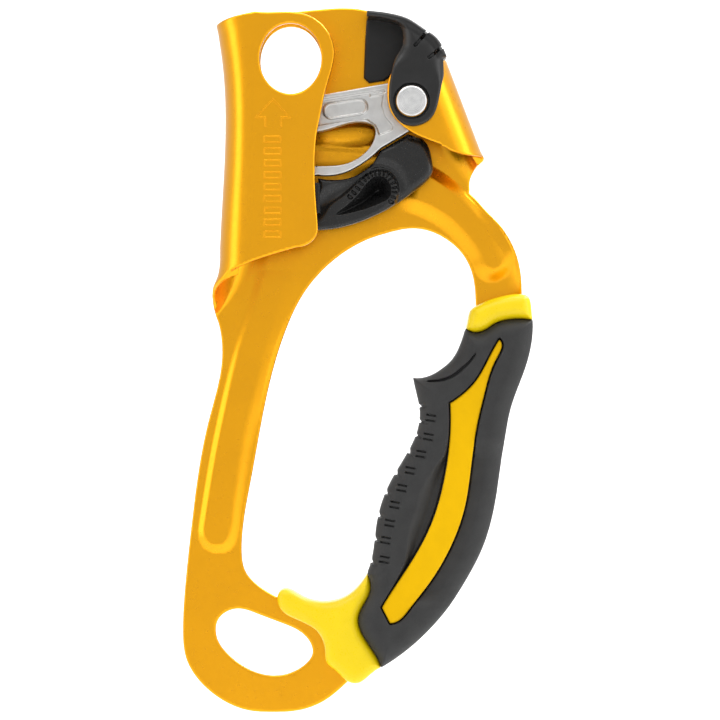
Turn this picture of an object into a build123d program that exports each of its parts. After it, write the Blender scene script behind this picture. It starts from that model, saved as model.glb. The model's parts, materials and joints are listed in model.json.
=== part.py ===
from build123d import *
import math
import os

# Handled rope ascender, in millimetres, +Z up along the rope.
# Origin: on the axis of the rope channel, level with the cam axle.
# +X points from the rope channel to the grip, +Y away from the side that shows the cam.

# ---- driving dimensions ----
SHEET_T = 3.0            # thickness of the pressed sheet
CHANNEL_R = 7.0          # inner radius of the rope channel and of the fold over the axle
BEND_R = CHANNEL_R + SHEET_T
AXLE_X = 43.6            # rope axis to cam axle
AXLE_R = 3.0
HEAD_R = 4.2
RUN = 0.05               # radial running clearance on shafts
FOLD_X = 47.2            # where the fold's axis crosses the level of the axle
FOLD_TILT = 20.8         # tilt of the fold's axis from vertical, degrees
RIB_H = 1.8              # height of the pressed ribs
CAM_HALF = 5.0           # half thickness of the cam
CAM_HUB_R = 7.8
BUSH_R = 4.0
CATCH_X, CATCH_Z = 12.0, -25.0   # catch pivot on the cam
RIVET_R = 1.5
LUG_R = 4.0
LEVER_FRONT, LEVER_REAR = -4.4, 4.0   # depth of the lever's two faces
GRIP_HALF = 12.0         # half thickness of the rubber grip
GRIP_MID = CHANNEL_R + SHEET_T / 2
TOOTH_H = 1.5


def at_y(y):
    """Sketch plane facing the front, at depth y; an extrude runs towards the front."""
    return Plane.XZ.offset(-y)


def runs(*parts):
    """Closed outline: each run starts where the last ended; two points make a line."""
    first = parts[0][0]
    last = first
    for number, part in enumerate(parts):
        points = list(part) if number == 0 else [last] + list(part)
        if len(points) == 2:
            Line(points[0], points[1])
        else:
            Spline(*points)
        last = points[-1]
    if last != first:
        Line(last, first)


os.makedirs("parts", exist_ok=True)


def save(shape, name):
    shape.label = name
    export_step(shape, "parts/" + name + ".step")


# ---------------------------------------------------------------- pressed frame
# Rope channel: two quarter bends, flared at both ends.
FLARES = [(-60.0, 13.4), (-47.0, 10.7), (-41.0, 10.0), (17.0, 10.0), (21.0, 10.7), (27.0, 12.9)]


def quarter(z, a, side):
    with BuildSketch(Plane.XY.offset(z)) as ring:
        Ellipse(a, BEND_R)
        Ellipse(a - SHEET_T, CHANNEL_R, mode=Mode.SUBTRACT)
        with Locations((-10, side * 10)):
            Rectangle(20, 20, mode=Mode.INTERSECT)
    return ring.sketch


def bend(side):
    with BuildPart() as tube:
        for (z0, a0), (z1, a1) in zip(FLARES, FLARES[1:]):
            loft([quarter(z0, a0, side), quarter(z1, a1, side)], ruled=True)
    return tube.part


with BuildPart() as channel_front:
    add(bend(-1))
    with BuildSketch(at_y(0)):
        with BuildLine():
            runs([(0, 25.0), (-2, 24.6)], [(-8.5, 22.9), (-15, 19.5)], [(-15, -53.0)],
                 [(-8.8, -48.6), (-2.7, -45.3), (0, -44.2)])
        make_face()
    extrude(amount=14, mode=Mode.INTERSECT)

with BuildPart() as channel_back:
    add(bend(1))
    with BuildSketch(at_y(14)):
        with BuildLine():
            runs([(0, 25.0), (-2, 24.6)], [(-8.5, 22.9), (-15, 19.5)], [(-15, -53.0)],
                 [(-12.0, -58.2)], [(-5, -56.5), (0, -50)])
        make_face()
    extrude(amount=14, mode=Mode.INTERSECT)

tilt = math.radians(FOLD_TILT)
fold_axis = Plane(
    origin=(FOLD_X, 0, 0),
    x_dir=(math.cos(tilt), 0, math.sin(tilt)),
    z_dir=(-math.sin(tilt), 0, math.cos(tilt)),
)


def fold_quarter(side):
    with BuildPart() as ring:
        with BuildSketch(fold_axis.offset(-28)):
            Circle(BEND_R)
            Circle(CHANNEL_R, mode=Mode.SUBTRACT)
            with Locations((10, side * 10)):
                Rectangle(20, 20, mode=Mode.INTERSECT)
        extrude(amount=40)
    return ring.part


def on_axis(z):
    """Point of the fold's axis at height z."""
    return (FOLD_X - z * math.tan(tilt), z)


FOLD_TOP = on_axis(8.6)

with BuildPart() as fold_front:
    add(fold_quarter(-1))
    with BuildSketch(at_y(0)):
        with BuildLine():
            runs([FOLD_TOP, (56, 13.1)], [(68, -15.4)], [(61.8, -15.0), (57.7, -14.7), (52.9, -12.7)],
                 [(46.0, -11.0)], [(40.0, 6.0)])
        make_face()
    extrude(amount=14, mode=Mode.INTERSECT)

with BuildPart() as fold_back:
    add(fold_quarter(1))
    with BuildSketch(at_y(14)):
        with BuildLine():
            runs([FOLD_TOP, (56, 13.1)], [(68, -15.4)], [(64.2, -15.6)],
                 [(62.0, -18.2), (60.3, -21.6), (60.2, -24.6)], [(57.0, -26.0)], [(40.0, 6.0)])
        make_face()
    extrude(amount=14, mode=Mode.INTERSECT)

LIMB_OUTER = [(62.0, -26.9), (65.3, -30.2), (69.4, -35.1), (72.3, -40.1), (74.2, -46.3), (74.8, -53.3),
              (73.5, -66.4), (70.9, -77.6), (67.0, -100.2), (61.4, -122.7), (56.0, -132.8),
              (48.4, -142.4), (37.7, -151.4), (25.3, -163.0)]
LOOP_OUTER = [(19.4, -167.8), (12.1, -170.6), (4.5, -171.1), (-2.3, -170.6), (-9.3, -167.8),
              (-16.1, -162.1), (-19.5, -156.5), (-20.6, -148.0), (-19.9, -135.0), (-18.0, -117.1),
              (-13.3, -88.9), (-9.6, -72.0), (-10.1, -63.6), (-11.8, -57.9)]
HANDLE_OPENING = [(61.8, -59.6), (61.6, -52.3), (60.5, -46.7), (57.1, -41.0), (53.8, -38.2),
                  (49.0, -35.8), (43.9, -35.0), (38.0, -36.0), (31.2, -38.2), (25.9, -41.0),
                  (18.8, -46.7), (14.1, -52.3), (8.4, -63.6), (3.4, -80.5), (-1.4, -105.8),
                  (-4.0, -125.5), (-3.1, -131.1), (2.5, -136.8), (12.4, -141.8), (20.8, -144.7),
                  (30.7, -142.4), (38.3, -135.9), (44.7, -126.9), (49.8, -117.1), (53.5, -105.8),
                  (58.3, -83.3), (60.9, -68.0)]
LOWER_HOLE = [(-11.3, -147.9), (-9.4, -143.6), (-5.5, -142.0), (0.8, -143.6), (8.5, -146.5),
              (14.2, -150.0), (15.9, -154.4), (12.8, -158.4), (4.7, -160.8), (-2.8, -158.6),
              (-8.6, -154.0)]

with BuildPart() as frame:
    # back sheet with the two limbs and the bottom loop
    with BuildSketch(at_y(BEND_R)):
        with BuildLine():
            runs([(0, 25.0), (6, 25.6), (12.4, 26.1), (23.6, 27.0), (30.7, 26.4), (36, 24.0)],
                 [(41, 20.5), (45, 15.0)], [FOLD_TOP], [on_axis(-16)],
                 [(55.4, -18.8), (58.3, -23.0), (60.2, -25.2)], LIMB_OUTER + LOOP_OUTER,
                 [(-7, -55), (-3, -51), (0, -46)])
        make_face()
        with BuildLine():
            Spline(*HANDLE_OPENING, periodic=True)
        make_face(mode=Mode.SUBTRACT)
        with BuildLine():
            Spline(*LOWER_HOLE, periodic=True)
        make_face(mode=Mode.SUBTRACT)
    extrude(amount=SHEET_T)
    # front flap beside the rope channel
    with BuildSketch(at_y(-CHANNEL_R)):
        with BuildLine():
            runs([(0, 25.0), (7.0, 24.9), (12.6, 24.6), (14.8, 24.0), (17.8, 22.2), (20.8, 18.6),
                  (22.1, 13.7), (21.4, 8.9), (19.6, 2.8), (18.4, -3.2), (17.2, -9.2), (16.7, -17.1),
                  (16.9, -26.1), (17.5, -34.0), (17.2, -37.3), (15.4, -39.4), (11.7, -40.6)],
                 [(3.3, -43.1), (0, -44.2)])
        make_face()
    extrude(amount=SHEET_T)
    # front ear of the fold, over the axle
    with BuildSketch(at_y(-CHANNEL_R)):
        with BuildLine():
            runs([FOLD_TOP, (42.0, 9.6), (38.6, 8.6), (36.9, 4.2), (36.9, 0.4), (37.9, -3.2),
                  (40.1, -6.0), (42.6, -8.0), (47.9, -10.6)], [on_axis(-12.0)])
        make_face()
    extrude(amount=SHEET_T)
    add(channel_front.part)
    add(channel_back.part)
    add(fold_front.part)
    add(fold_back.part)
    # upper hole, through both walls of the channel
    with BuildSketch(at_y(BEND_R + 1)):
        with Locations((9.9, 11.9)):
            Ellipse(8.6, 9.8)
    extrude(amount=2 * BEND_R + 2, mode=Mode.SUBTRACT)
    # axle hole
    with BuildSketch(at_y(BEND_R + 1)):
        with Locations((AXLE_X, 0)):
            Circle(AXLE_R)
    extrude(amount=2 * BEND_R + 2, mode=Mode.SUBTRACT)
    # pressed ribs on the two limbs
    with BuildSketch(at_y(CHANNEL_R)):
        with BuildLine():
            runs([(3.4, -47.8), (-0.8, -59.9), (-7.6, -83.0), (-12.4, -106.6), (-14.3, -120.6),
                  (-13.2, -123.2), (-11.0, -124.0), (-9.0, -123.2), (-7.6, -119.8), (-5.6, -103.2),
                  (-1.7, -82.4), (3.1, -65.8), (6.2, -55.1), (9.3, -48.8)])
        make_face()
        with BuildLine():
            runs([(48.7, -21.4), (57.1, -27.3), (63.6, -34.0), (67.2, -38.5), (69.5, -42.2),
                  (68.9, -44.7), (66.9, -46.1), (64.8, -45.0), (60.2, -37.1), (54.9, -31.8),
                  (48.7, -28.1), (43.0, -26.3)])
        make_face()
    extrude(amount=RIB_H)
    # the ribs' hollows on the rear
    with BuildSketch(at_y(BEND_R)):
        with BuildLine():
            runs([(1.9, -55.0), (-6.0, -83.0), (-10.8, -106.6), (-12.8, -119.6), (-11.4, -122.0),
                  (-9.2, -119.6), (-7.2, -103.2), (-3.2, -82.4), (1.7, -65.8), (4.6, -56.5)])
        make_face()
        with BuildLine():
            runs([(49.5, -23.6), (56.0, -28.3), (62.3, -34.8), (67.2, -42.0), (66.4, -43.8),
                  (61.5, -36.5), (55.9, -30.6), (49.2, -26.6)])
        make_face()
    extrude(amount=RIB_H, mode=Mode.SUBTRACT)
save(frame.part, "frame")

# ---------------------------------------------------------------- axle and its washers
with BuildPart() as cam_axle:
    with BuildSketch(at_y(12.5)):
        with Locations((AXLE_X, 0)):
            Circle(HEAD_R)
    extrude(amount=1.5)
    with BuildSketch(at_y(11.0)):
        with Locations((AXLE_X, 0)):
            Circle(AXLE_R)
    extrude(amount=21.0)
    with BuildSketch(at_y(-10.0)):
        with Locations((AXLE_X, 0)):
            Circle(HEAD_R)
    extrude(amount=3.0)
    chamfer(cam_axle.edges().filter_by(GeomType.CIRCLE).sort_by(Axis.Y)[0], 0.35)
save(cam_axle.part, "cam_axle")


def ring(y, thick, outer, inner, x, z):
    with BuildPart() as washer:
        with BuildSketch(at_y(y)):
            with Locations((x, z)):
                Circle(outer)
                Circle(inner, mode=Mode.SUBTRACT)
        extrude(amount=thick)
    return washer.part


save(ring(11.0, 1.0, 5.6, AXLE_R + 0.1, AXLE_X, 0), "axle_washer")
save(ring(6.8, 1.0, 4.6, AXLE_R + RUN, AXLE_X, 0), "thrust_washer_rear")
save(ring(-5.8, 1.0, 4.6, AXLE_R + RUN, AXLE_X, 0), "thrust_washer_front")

# ---------------------------------------------------------------- toothed cam
FACE_TOP = (2.5, -0.9)
FACE_MID = (-1.9, -9.7)
FACE_LOW = (-2.5, -19.0)

with BuildPart() as toothed_cam:
    with BuildSketch(at_y(CAM_HALF)):
        with BuildLine():
            ThreePointArc(FACE_TOP, FACE_MID, FACE_LOW)
            Spline(FACE_LOW, (-0.6, -21.4), (3.0, -22.2), (9.0, -22.0))
            Line((9.0, -22.0), (17.3, -20.3))
            Spline((17.3, -20.3), (22.1, -20.3), (25.3, -19.5), (28.5, -17.9), (32.3, -15.3), (34.9, -12.9))
            Line((34.9, -12.9), (42.6, -8.3))
            Line((42.6, -8.3), (47.0, -5.0))
            Line((47.0, -5.0), (44.0, 6.5))
            Line((44.0, 6.5), FACE_TOP)
        make_face()
        with Locations((AXLE_X, 0)):
            Circle(CAM_HUB_R)
    extrude(amount=2 * CAM_HALF)
    # hub bosses that run against the thrust washers
    with BuildSketch(at_y(5.5)):
        with Locations((AXLE_X, 0)):
            Circle(4.6)
    extrude(amount=11.0)
    # lug for the catch, in the rear half of the thickness
    with BuildSketch(at_y(CAM_HALF)):
        with Locations((CATCH_X, CATCH_Z)):
            Circle(LUG_R)
        with BuildLine():
            Polyline((8.2, -24.0), (7.6, -21.4), (16.6, -20.6), (15.8, -24.0), (8.2, -24.0))
        make_face()
    extrude(amount=5.7)
    # room for the catch boss, in front of the lug
    with BuildSketch(at_y(-0.7)):
        with Locations((CATCH_X, CATCH_Z)):
            Circle(LUG_R + 0.4)
    extrude(amount=6.0, mode=Mode.SUBTRACT)
    # window between the strut and the lower rim
    with BuildSketch(at_y(6)):
        with BuildLine():
            Spline((18.0, -8.1), (23.7, -6.5), (31.1, -5.7), (33.2, -6.8), (33.5, -9.1), (32.0, -12.6),
                   (28.5, -15.8), (24.7, -17.4), (18.0, -17.9), (12.5, -17.2), (10.8, -13.5),
                   (13.0, -9.8), periodic=True)
        make_face()
    extrude(amount=12, mode=Mode.SUBTRACT)
    # shallow panel inside the front rim
    with BuildSketch(at_y(-CAM_HALF)):
        with BuildLine():
            Spline((36.0, 3.3), (36.4, -1.0), (38.4, -6.2), (37.9, -7.8), (33.0, -11.0))
            Line((33.0, -11.0), (35.1, -7.2))
            Line((35.1, -7.2), (33.2, -4.2))
            Line((33.2, -4.2), (18.0, -6.2))
            Line((18.0, -6.2), (6.0, -8.0))
            Line((6.0, -8.0), (6.5, -2.0))
            Line((6.5, -2.0), (36.0, 3.3))
        make_face()
    extrude(amount=-0.6, mode=Mode.SUBTRACT)
    # relief around the rear boss for the spring
    with BuildSketch(at_y(CAM_HALF)):
        with Locations((AXLE_X, 0)):
            Circle(8.4)
            Circle(4.6, mode=Mode.SUBTRACT)
    extrude(amount=4.0, mode=Mode.SUBTRACT)
    # bush bore and rivet hole with a counterbore for its rear head
    with BuildSketch(at_y(6)):
        with Locations((AXLE_X, 0)):
            Circle(BUSH_R)
        with Locations((CATCH_X, CATCH_Z)):
            Circle(RIVET_R)
    extrude(amount=12, mode=Mode.SUBTRACT)
    with BuildSketch(at_y(CAM_HALF)):
        with Locations((CATCH_X, CATCH_Z)):
            Circle(2.6)
    extrude(amount=0.9, mode=Mode.SUBTRACT)
    # cleaning slot through the toothed face, into the window
    with BuildSketch(Plane.YZ.offset(-5)):
        with Locations((0, -12.5)):
            SlotOverall(9.0, 2.4, rotation=90)
    extrude(amount=18, mode=Mode.SUBTRACT)
    # teeth: rows of cones that point up and out of the face
    for row in range(9):
        share = row / 8
        z = -2.8 - 15.6 * share
        x = -2.76 + 0.02406 * (z + 15.69) ** 2
        for y in (-4.0, -2.0, 2.0, 4.0):
            with Locations(Location((x + 0.3, y, z), (0, -58 - 24 * share, 0))):
                Cone(0.85, 0.15, TOOTH_H + 0.3, align=(Align.CENTER, Align.CENTER, Align.MIN))
save(toothed_cam.part, "toothed_cam")

with BuildPart() as cam_bush:
    with BuildSketch(at_y(5.5)):
        with Locations((AXLE_X, 0)):
            Circle(BUSH_R)
            Circle(AXLE_R + RUN, mode=Mode.SUBTRACT)
    extrude(amount=11.0)
save(cam_bush.part, "cam_bush")

# ---------------------------------------------------------------- springs


def torsion_spring(wire, coil, turns, pitch, y, x, z, start, leg):
    """Coil about an axis parallel to Y, with a straight leg at each end."""
    with BuildPart() as spring:
        with BuildLine():
            coil_path = Helix(pitch, pitch * turns, coil, center=(x, y, z), direction=(0, -1, 0))
        with BuildSketch(Plane(origin=coil_path @ 0, z_dir=coil_path % 0)):
            Circle(wire / 2)
        sweep(path=coil_path)
        for end, sign in ((0, -1), (1, 1)):
            tangent = coil_path % end
            with BuildSketch(Plane(origin=coil_path @ end, z_dir=tangent * sign)):
                Circle(wire / 2)
            extrude(amount=leg)
    return spring.part.rotate(Axis((x, 0, z), (0, 1, 0)), start)


save(torsion_spring(1.0, 6.0, 2.75, 1.15, 4.9, AXLE_X, 0, 0, 3.0), "cam_spring")
save(torsion_spring(0.6, 2.3, 2.0, 0.7, -3.35, CATCH_X, CATCH_Z, 60, 0.5), "catch_spring")

# ---------------------------------------------------------------- catch, its rivet
with BuildPart() as catch_rivet:
    with BuildSketch(at_y(CAM_HALF)):
        with Locations((CATCH_X, CATCH_Z)):
            Circle(2.5)
    extrude(amount=0.8)
    with BuildSketch(at_y(4.2)):
        with Locations((CATCH_X, CATCH_Z)):
            Circle(RIVET_R)
    extrude(amount=9.9)
    with BuildSketch(at_y(-5.7)):
        with Locations((CATCH_X, CATCH_Z)):
            Circle(2.8)
    extrude(amount=0.7)
save(catch_rivet.part, "catch_rivet")
save(ring(-5.1, 0.6, 3.5, RIVET_R + RUN, CATCH_X, CATCH_Z), "catch_washer")

with BuildPart() as catch_lever:
    with BuildSketch(at_y(LEVER_REAR)):
        with BuildLine():
            Spline((17.4, -21.2), (22.1, -21.7), (26.0, -21.2), (29.4, -19.7), (33.0, -16.9))
            Line((33.0, -16.9), (35.0, -13.5))
            Line((35.0, -13.5), (42.6, -8.9))
            Line((42.6, -8.9), (46.4, -10.0))
            Spline((46.4, -10.0), (48.1, -11.8), (49.4, -16.2), (49.6, -19.2), (47.4, -22.5), (42.9, -26.0))
            Spline((42.9, -26.0), (38.1, -29.2), (31.7, -32.4), (25.3, -34.6), (18.0, -35.7), (12.0, -34.8),
                   (9.0, -31.5))
            Spline((9.0, -31.5), (10.2, -30.0), (14.2, -29.6), (16.8, -27.0), (17.4, -21.2))
        make_face()
    extrude(amount=LEVER_REAR - LEVER_FRONT)
    # bevels that let the lever's end swing into the fold
    lever_ends = catch_lever.faces().filter_by(Axis.Y).edges()
    chamfer(lever_ends.filter_by(lambda edge: edge.center().X > 42.0 and edge.center().Z < -9.0), 1.5)
    # boss over the cam's lug
    with BuildSketch(at_y(-1.1)):
        with Locations((CATCH_X, CATCH_Z)):
            Circle(LUG_R)
        with BuildLine():
            Polyline((8.0, -25.0), (8.6, -31.8), (18.0, -31.0), (18.0, -22.6), (14.6, -22.2), (8.0, -25.0))
        make_face()
    extrude(amount=3.9)
    # clear of the cam's lug behind the boss
    with BuildSketch(at_y(5)):
        with Locations((CATCH_X, CATCH_Z)):
            Circle(LUG_R + 0.5)
    extrude(amount=6.1, mode=Mode.SUBTRACT)
    # rivet hole and spring pocket
    with BuildSketch(at_y(6)):
        with Locations((CATCH_X, CATCH_Z)):
            Circle(RIVET_R + RUN)
    extrude(amount=12, mode=Mode.SUBTRACT)
    with BuildSketch(at_y(-3.0)):
        with Locations((CATCH_X, CATCH_Z)):
            Circle(3.1)
    extrude(amount=2.2, mode=Mode.SUBTRACT)
    # teardrop finger pocket in the front
    with BuildSketch(at_y(LEVER_FRONT + 2.6)):
        with BuildLine():
            Spline((22.8, -31.5), (27.9, -28.3), (30.5, -24.6), (32.6, -22.0))
            ThreePointArc((32.6, -22.0), (36.8, -22.2), (36.2, -26.3))
            Spline((36.2, -26.3), (31.7, -28.9), (26.9, -30.7), (22.8, -31.5))
        make_face()
    extrude(amount=3.0, mode=Mode.SUBTRACT)
save(catch_lever.part, "catch_lever")

# ---------------------------------------------------------------- top pad
PAD_ROOF = [(31.2, 25.2), (35.1, 24.8), (39.1, 24.1), (43.0, 22.8), (47.5, 19.9), (50.3, 18.0),
            (52.4, 14.8), (53.4, 12.4)]
LOBE = [(53.3, 10.8), (52.0, 4.6), (50.8, -1.2), (49.6, -4.1), (47.2, -6.2), (43.9, -7.0), (40.6, -6.0),
        (38.4, -3.3), (37.3, 0.2), (37.3, 2.0)]
LOBE_LEFT = [(37.3, 2.0), (37.7, 6.4), (39.2, 12.4), (40.4, 17.6), (40.0, 19.8), (38.1, 21.6)]
with BuildPart() as top_pad:
    with BuildSketch(at_y(CHANNEL_R)):
        with BuildLine():
            runs(PAD_ROOF, LOBE, [(37.3, 6.6)], [(31.8, 5.8)], [(30.3, 7.2)], [(30.7, 17.9)])
        make_face()
    extrude(amount=CHANNEL_R + BEND_R + 2.6)
    # the front lobe stands clear of the opening on its left
    with BuildSketch(at_y(-BEND_R)):
        with BuildLine():
            runs(LOBE_LEFT, [(39.6, 28)], [(20, 28)], [(20, 2)])
        make_face()
    extrude(amount=4, mode=Mode.SUBTRACT)
    # hollow under the roof, between the inner web and the front lobe
    with BuildSketch(at_y(4.8)):
        with BuildLine():
            runs([(20, 23.5), (31.4, 23.5)], [(38.0, 22.5), (42.0, 21.0), (47.0, 17.9), (49.6, 15.6), (51.0, 12.3)],
                 [(60, 12.3)], [(60, -12)], [(20, -12)])
        make_face()
    extrude(amount=BEND_R + 4.8, mode=Mode.SUBTRACT)
    # the web ends above the axle
    with BuildSketch(at_y(CHANNEL_R + 1)):
        with BuildLine():
            Polyline((36.2, 6.5), (38.6, 8.2), (41.4, 9.4), (44.2, 12.4), (60, 12.4), (60, -12), (36.2, -12),
                     (36.2, 6.5))
        make_face()
    extrude(amount=3.3, mode=Mode.SUBTRACT)
    with BuildSketch(at_y(-8)):
        with Locations((AXLE_X, 0)):
            Circle(HEAD_R + 0.6)
    extrude(amount=6, mode=Mode.SUBTRACT)
save(top_pad.part, "top_pad")

# ---------------------------------------------------------------- grip
GRIP_PARTING = [(31.3, -132.0), (32.3, -134.8), (32.1, -137.1), (29.5, -142.2), (28.8, -145.0),
                (29.6, -148.2), (35.1, -158.3)]
COLLAR_EDGE = [(59.0, -63.1), (62.5, -64.2), (64.4, -63.5), (67.0, -61.8), (70.4, -60.7), (77.7, -60.8)]
SLEEVE_LEFT = [(58.2, -65.7), (56.9, -69.1), (55.0, -72.1), (52.4, -74.4), (49.4, -76.2), (44.2, -77.0)]
SLEEVE_PALM = [(45.2, -81.5), (46.1, -86.4), (45.6, -91.3), (43.8, -96.0), (39.6, -103.2), (36.2, -109.9),
               (34.0, -117.7), (33.0, -125.6), (31.3, -132.0)]
SLEEVE_RIGHT = [(42.7, -153.1), (48.8, -147.5), (54.4, -140.9), (59.5, -133.0), (63.7, -124.7),
                (67.1, -112.7), (69.1, -99.2), (70.1, -92.8), (71.5, -85.7), (75.7, -74.0),
                (77.4, -67.0), (77.7, -60.8)]
INLAY_RIGHT = [(69.0, -67.2), (67.5, -71.8), (64.2, -81.6), (62.4, -89.0), (60.2, -103.9), (58.6, -113.5),
               (55.6, -122.3), (48.2, -135.2), (43.6, -141.2), (39.4, -145.4), (37.6, -145.8)]
INLAY_END = [(35.2, -141.2)]
INLAY_LEFT = [(39.9, -133.8), (45.0, -125.9), (49.2, -117.5), (51.7, -109.7), (53.6, -99.9),
              (54.4, -91.0), (54.3, -84.0)]
INLAY_TIP = [(58.3, -81.1), (60.9, -78.5), (65.0, -71.7), (68.2, -66.0)]


def grip_block(half, parts):
    with BuildPart() as block:
        with BuildSketch(at_y(GRIP_MID + half)):
            with BuildLine():
                runs(*parts)
            make_face()
        extrude(amount=2 * half)
    return block.part


sleeve_runs = [[(59.0, -63.1)] + SLEEVE_LEFT, SLEEVE_PALM, GRIP_PARTING[1:], SLEEVE_RIGHT,
               list(reversed(COLLAR_EDGE))[1:]]
with BuildPart() as grip_sleeve:
    add(grip_block(GRIP_HALF, sleeve_runs))
    for side in (-1, 1):
        face_y = GRIP_MID + side * GRIP_HALF
        with BuildSketch(at_y(face_y)):
            with BuildLine():
                runs([(68.2, -66.0)] + INLAY_RIGHT, INLAY_END, INLAY_LEFT, INLAY_TIP)
            make_face()
        extrude(amount=2.4 * side, mode=Mode.SUBTRACT)
    add(frame.part, mode=Mode.SUBTRACT)
save(grip_sleeve.part, "grip_sleeve")

for side, name in ((-1, "grip_inlay_front"), (1, "grip_inlay_rear")):
    with BuildPart() as inlay:
        with BuildSketch(at_y(GRIP_MID + side * (GRIP_HALF - 0.7))):
            with BuildLine():
                runs([(68.2, -66.0)] + INLAY_RIGHT, INLAY_END, INLAY_LEFT, INLAY_TIP)
            make_face()
        extrude(amount=1.7 * side)
    save(inlay.part, name)

with BuildPart() as upper_collar:
    add(grip_block(GRIP_HALF - 1.2, [
        [(59.0, -63.1), (59.7, -59.9), (60.6, -57.7), (62.1, -56.7), (65.9, -55.0), (70.8, -53.8),
         (74.1, -53.5), (76.2, -54.1), (77.2, -56.5), (77.7, -60.8)],
        list(reversed(COLLAR_EDGE))[1:]]))
    add(frame.part, mode=Mode.SUBTRACT)
save(upper_collar.part, "upper_collar")

with BuildPart() as lower_flange:
    add(grip_block(GRIP_HALF - 3.0, [
        [(31.3, -132.0), (29.5, -134.7), (26.8, -137.4), (22.9, -139.4), (19.7, -139.9), (16.2, -139.6),
         (13.0, -138.4), (9.5, -136.5), (8.0, -136.3), (6.4, -137.4), (6.1, -139.6), (7.4, -142.4),
         (10.7, -144.5), (14.2, -146.1), (17.0, -147.9), (18.5, -150.0), (19.4, -153.2), (19.9, -156.8),
         (22.5, -159.1), (25.4, -161.9), (28.4, -162.7), (31.2, -161.1), (35.1, -158.3)],
        list(reversed(GRIP_PARTING))[1:]]))
    add(frame.part, mode=Mode.SUBTRACT)
save(lower_flange.part, "lower_flange")
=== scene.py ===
import math

import bpy
import numpy as np
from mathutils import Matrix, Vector
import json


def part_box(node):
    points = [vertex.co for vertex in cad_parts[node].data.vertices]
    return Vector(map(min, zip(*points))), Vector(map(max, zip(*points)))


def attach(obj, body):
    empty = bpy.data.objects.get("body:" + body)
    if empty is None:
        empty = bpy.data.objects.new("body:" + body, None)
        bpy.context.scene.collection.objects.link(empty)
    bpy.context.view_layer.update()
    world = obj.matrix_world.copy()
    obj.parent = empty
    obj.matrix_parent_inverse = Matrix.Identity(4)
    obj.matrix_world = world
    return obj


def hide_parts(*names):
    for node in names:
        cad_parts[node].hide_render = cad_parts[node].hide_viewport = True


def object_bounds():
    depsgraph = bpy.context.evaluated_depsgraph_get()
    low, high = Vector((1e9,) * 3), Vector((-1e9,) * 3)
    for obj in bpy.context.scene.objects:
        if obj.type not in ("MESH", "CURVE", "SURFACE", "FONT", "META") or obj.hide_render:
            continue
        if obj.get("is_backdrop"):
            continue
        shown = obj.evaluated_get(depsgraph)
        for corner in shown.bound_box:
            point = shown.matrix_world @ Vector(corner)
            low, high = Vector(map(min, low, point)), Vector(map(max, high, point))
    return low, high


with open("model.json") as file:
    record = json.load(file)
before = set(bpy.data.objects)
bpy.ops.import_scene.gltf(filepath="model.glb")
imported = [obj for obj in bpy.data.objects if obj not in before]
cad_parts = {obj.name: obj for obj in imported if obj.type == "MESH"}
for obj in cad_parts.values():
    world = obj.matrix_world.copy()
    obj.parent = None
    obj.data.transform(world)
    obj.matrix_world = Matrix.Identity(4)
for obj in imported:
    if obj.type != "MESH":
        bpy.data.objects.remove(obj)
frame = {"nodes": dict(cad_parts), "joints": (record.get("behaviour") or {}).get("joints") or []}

CAD_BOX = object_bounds()

# Lengths are in millimetres until a mesh is written; X right, Y away from the viewer, Z up.
SHEET = 3.0                                     # sheet thickness
BEND_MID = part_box("frame")[1].y * 1000 - SHEET / 2   # radius of the bends to the middle of the sheet
AXLE_X = frame["joints"][0]["pos_m"][0] * 1000
CATCH_X, _, CATCH_Z = [v * 1000 for v in frame["joints"][1]["pos_m"]]
FOLD_X = AXLE_X + 3.6                           # the fold's axis at the level of the cam axle
FOLD_TAN = math.tan(math.radians(20.8))         # its tilt
RIB = 1.6                                       # height of the pressed ribs
COARSE = 1.0
NUDGE = 1.234e-4                                # keeps a cutting plane off a mesh's own vertices
FAR_INSIDE = -6.0                               # a trim's value where nothing is cut, before any blend


# ---------------------------------------------------------------- distance fields

def smoothstep(low, high, x):
    t = np.clip((x - low) / (high - low), 0, 1)
    return t * t * (3 - 2 * t)


def both(a, b, r):
    """Where both fields are inside, with the meeting edge rounded to radius r."""
    return np.minimum(np.maximum(a, b), -r) + np.hypot(np.maximum(a + r, 0), np.maximum(b + r, 0))


def either(a, b, r):
    """Where one field or the other is inside, with a fillet of radius r."""
    return -both(-a, -b, r)


def spline(points, closed=True, steps=8):
    """Dense points of a Catmull-Rom curve through the points."""
    p = np.array(points, float)
    n = len(p)
    out = []
    for i in range(n if closed else n - 1):
        a, b, c, d = [p[(i + k) % n] if closed else p[min(max(i + k, 0), n - 1)] for k in (-1, 0, 1, 2)]
        for t in np.arange(steps) / steps:
            out.append(0.5 * (2 * b + (c - a) * t + (2 * a - 5 * b + 4 * c - d) * t * t
                              + (3 * b - a - 3 * c + d) * t ** 3))
    if not closed:
        out.append(p[-1])
    return np.array(out)


def loop_segments(points):
    return np.stack([points, np.roll(points, -1, axis=0)], axis=1)


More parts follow.
